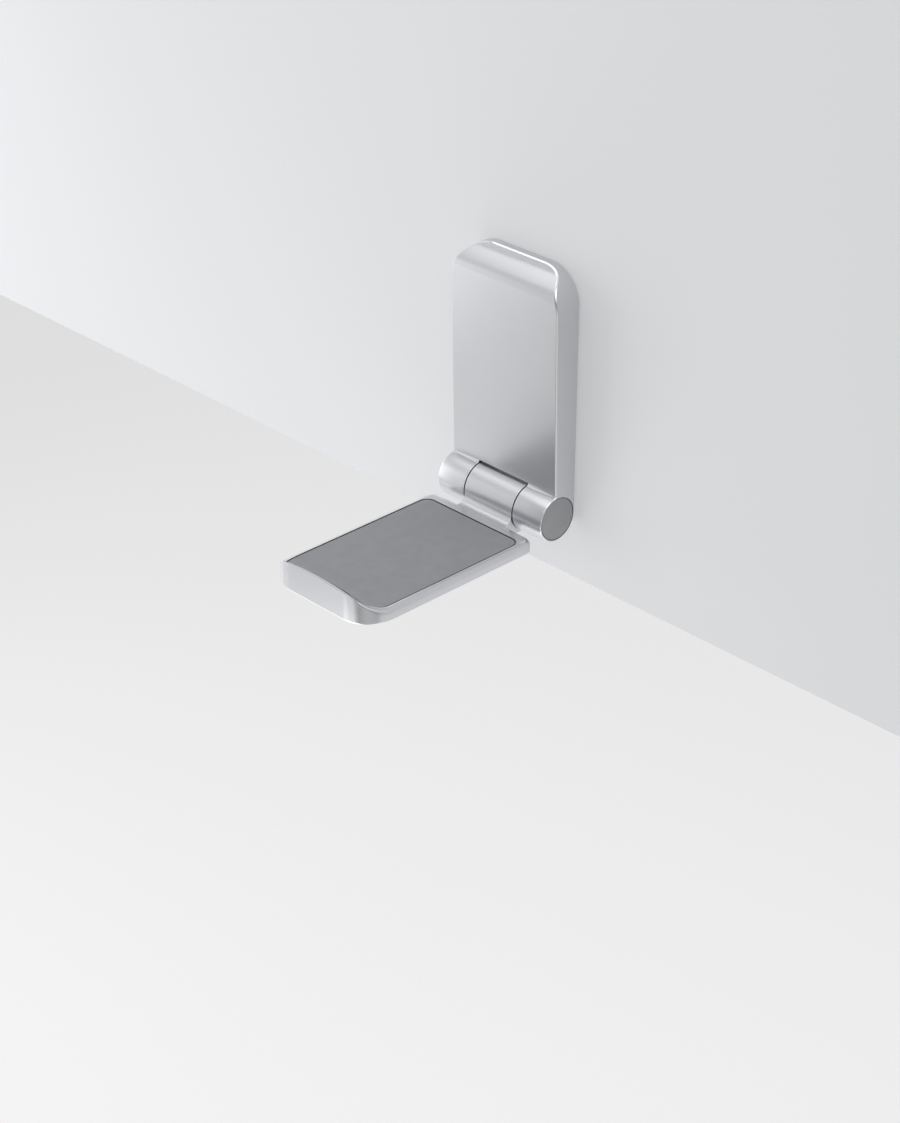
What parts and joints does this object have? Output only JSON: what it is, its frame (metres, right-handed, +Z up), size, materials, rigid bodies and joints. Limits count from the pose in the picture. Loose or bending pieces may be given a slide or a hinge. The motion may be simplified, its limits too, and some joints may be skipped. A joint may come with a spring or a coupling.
{
  "type": "headphone hook",
  "caption": "Folding headphone hook: an aluminium wall plate and a cushioned arm with a raised lip on a friction hinge.",
  "frame": {"origin": "middle of the adhesive pad's back, on the wall plane", "axes": "+Z up along the wall, -Y out of the wall along the open arm, +X along the hinge, to the right seen from the front"},
  "size_m": [0.04, 0.078, 0.0785],
  "materials": {
    "satin_aluminium": "bead-blasted and anodised satin",
    "cap_aluminium": "matt grey anodised",
    "grey_silicone": "matt moulded silicone",
    "steel": "zinc plated",
    "acetal": "moulded",
    "foam_tape": "soft foam tape",
    "adhesive_film": "transfer adhesive"
  },
  "bodies": {
    "plate": {"wall_plate": "satin_aluminium", "back_plate": "steel", "back_plate_screw_1": "steel", "back_plate_screw_2": "steel", "back_plate_screw_3": "steel", "back_plate_screw_4": "steel", "adhesive_pad": "foam_tape", "hinge_pin": "steel", "lock_nut": "steel", "disc_spring_1": "steel", "disc_spring_2": "steel", "disc_spring_3": "steel", "friction_washer_left": "acetal", "friction_washer_right": "acetal", "end_cap_left": "cap_aluminium", "end_cap_right": "cap_aluminium"},
    "arm": {"arm": "satin_aluminium", "arm_pad": "grey_silicone", "pad_adhesive": "adhesive_film", "bushing_left": "acetal", "bushing_right": "acetal", "stop_pin": "steel"}
  },
  "joints": [
    {"name": "arm_fold", "type": "hinge", "parent": "plate", "child": "arm", "pos_m": [0, -0.0072, -0.035], "axis": [-1, 0, 0], "range_deg": [0, 90]}
  ]
}
